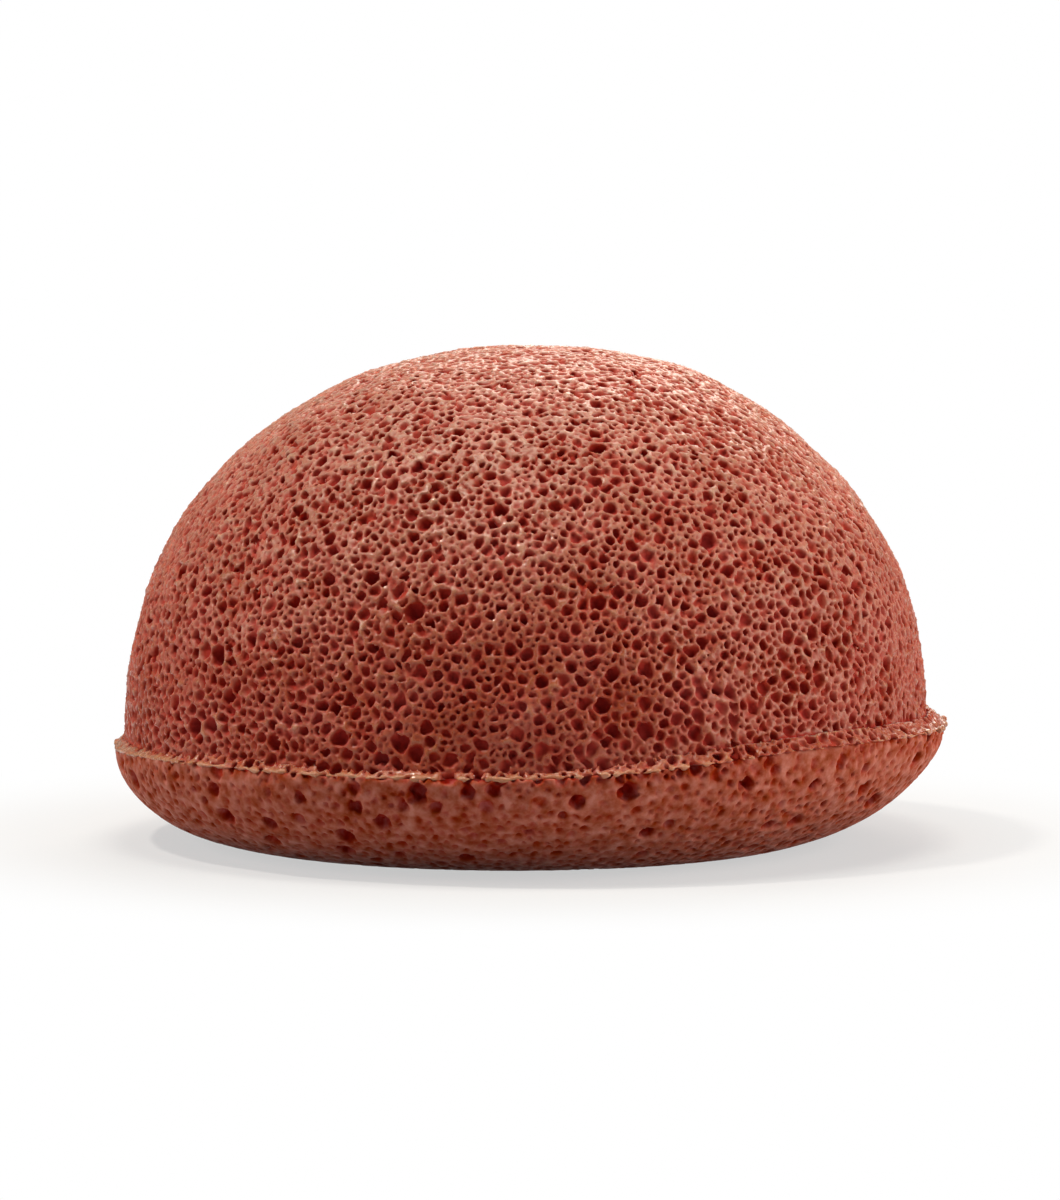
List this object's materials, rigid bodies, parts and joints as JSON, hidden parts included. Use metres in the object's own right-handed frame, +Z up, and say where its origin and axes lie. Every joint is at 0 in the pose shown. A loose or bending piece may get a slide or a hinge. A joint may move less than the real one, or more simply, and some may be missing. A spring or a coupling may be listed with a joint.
{
  "type": "konjac sponge",
  "caption": "Half-ball konjac sponge for washing the face: terracotta-red open-cell foam with a thin moulding lip over a shallow rounded base. The crown presses down and springs back.",
  "frame": {"origin": "centre of the flat foot, on the surface that the sponge stands on", "axes": "+Z up through the top of the dome; +X to the right and +Y away from the viewer in the pictured view"},
  "size_m": [0.078, 0.078, 0.0462],
  "materials": {
    "konjac_foam": "matte open-cell foam, slightly moist"
  },
  "bodies": {
    "base": {"base_pad": "konjac_foam", "rim_flash": "konjac_foam", "dome_wall": "konjac_foam"},
    "crown": {"dome_crown": "konjac_foam"}
  },
  "joints": [
    {"name": "squeeze", "type": "slide", "parent": "base", "child": "crown", "axis": [0, 0, -1], "range_m": [0, 0.016], "stiffness_N_per_m": 350, "deforming": ["dome_wall"]}
  ]
}
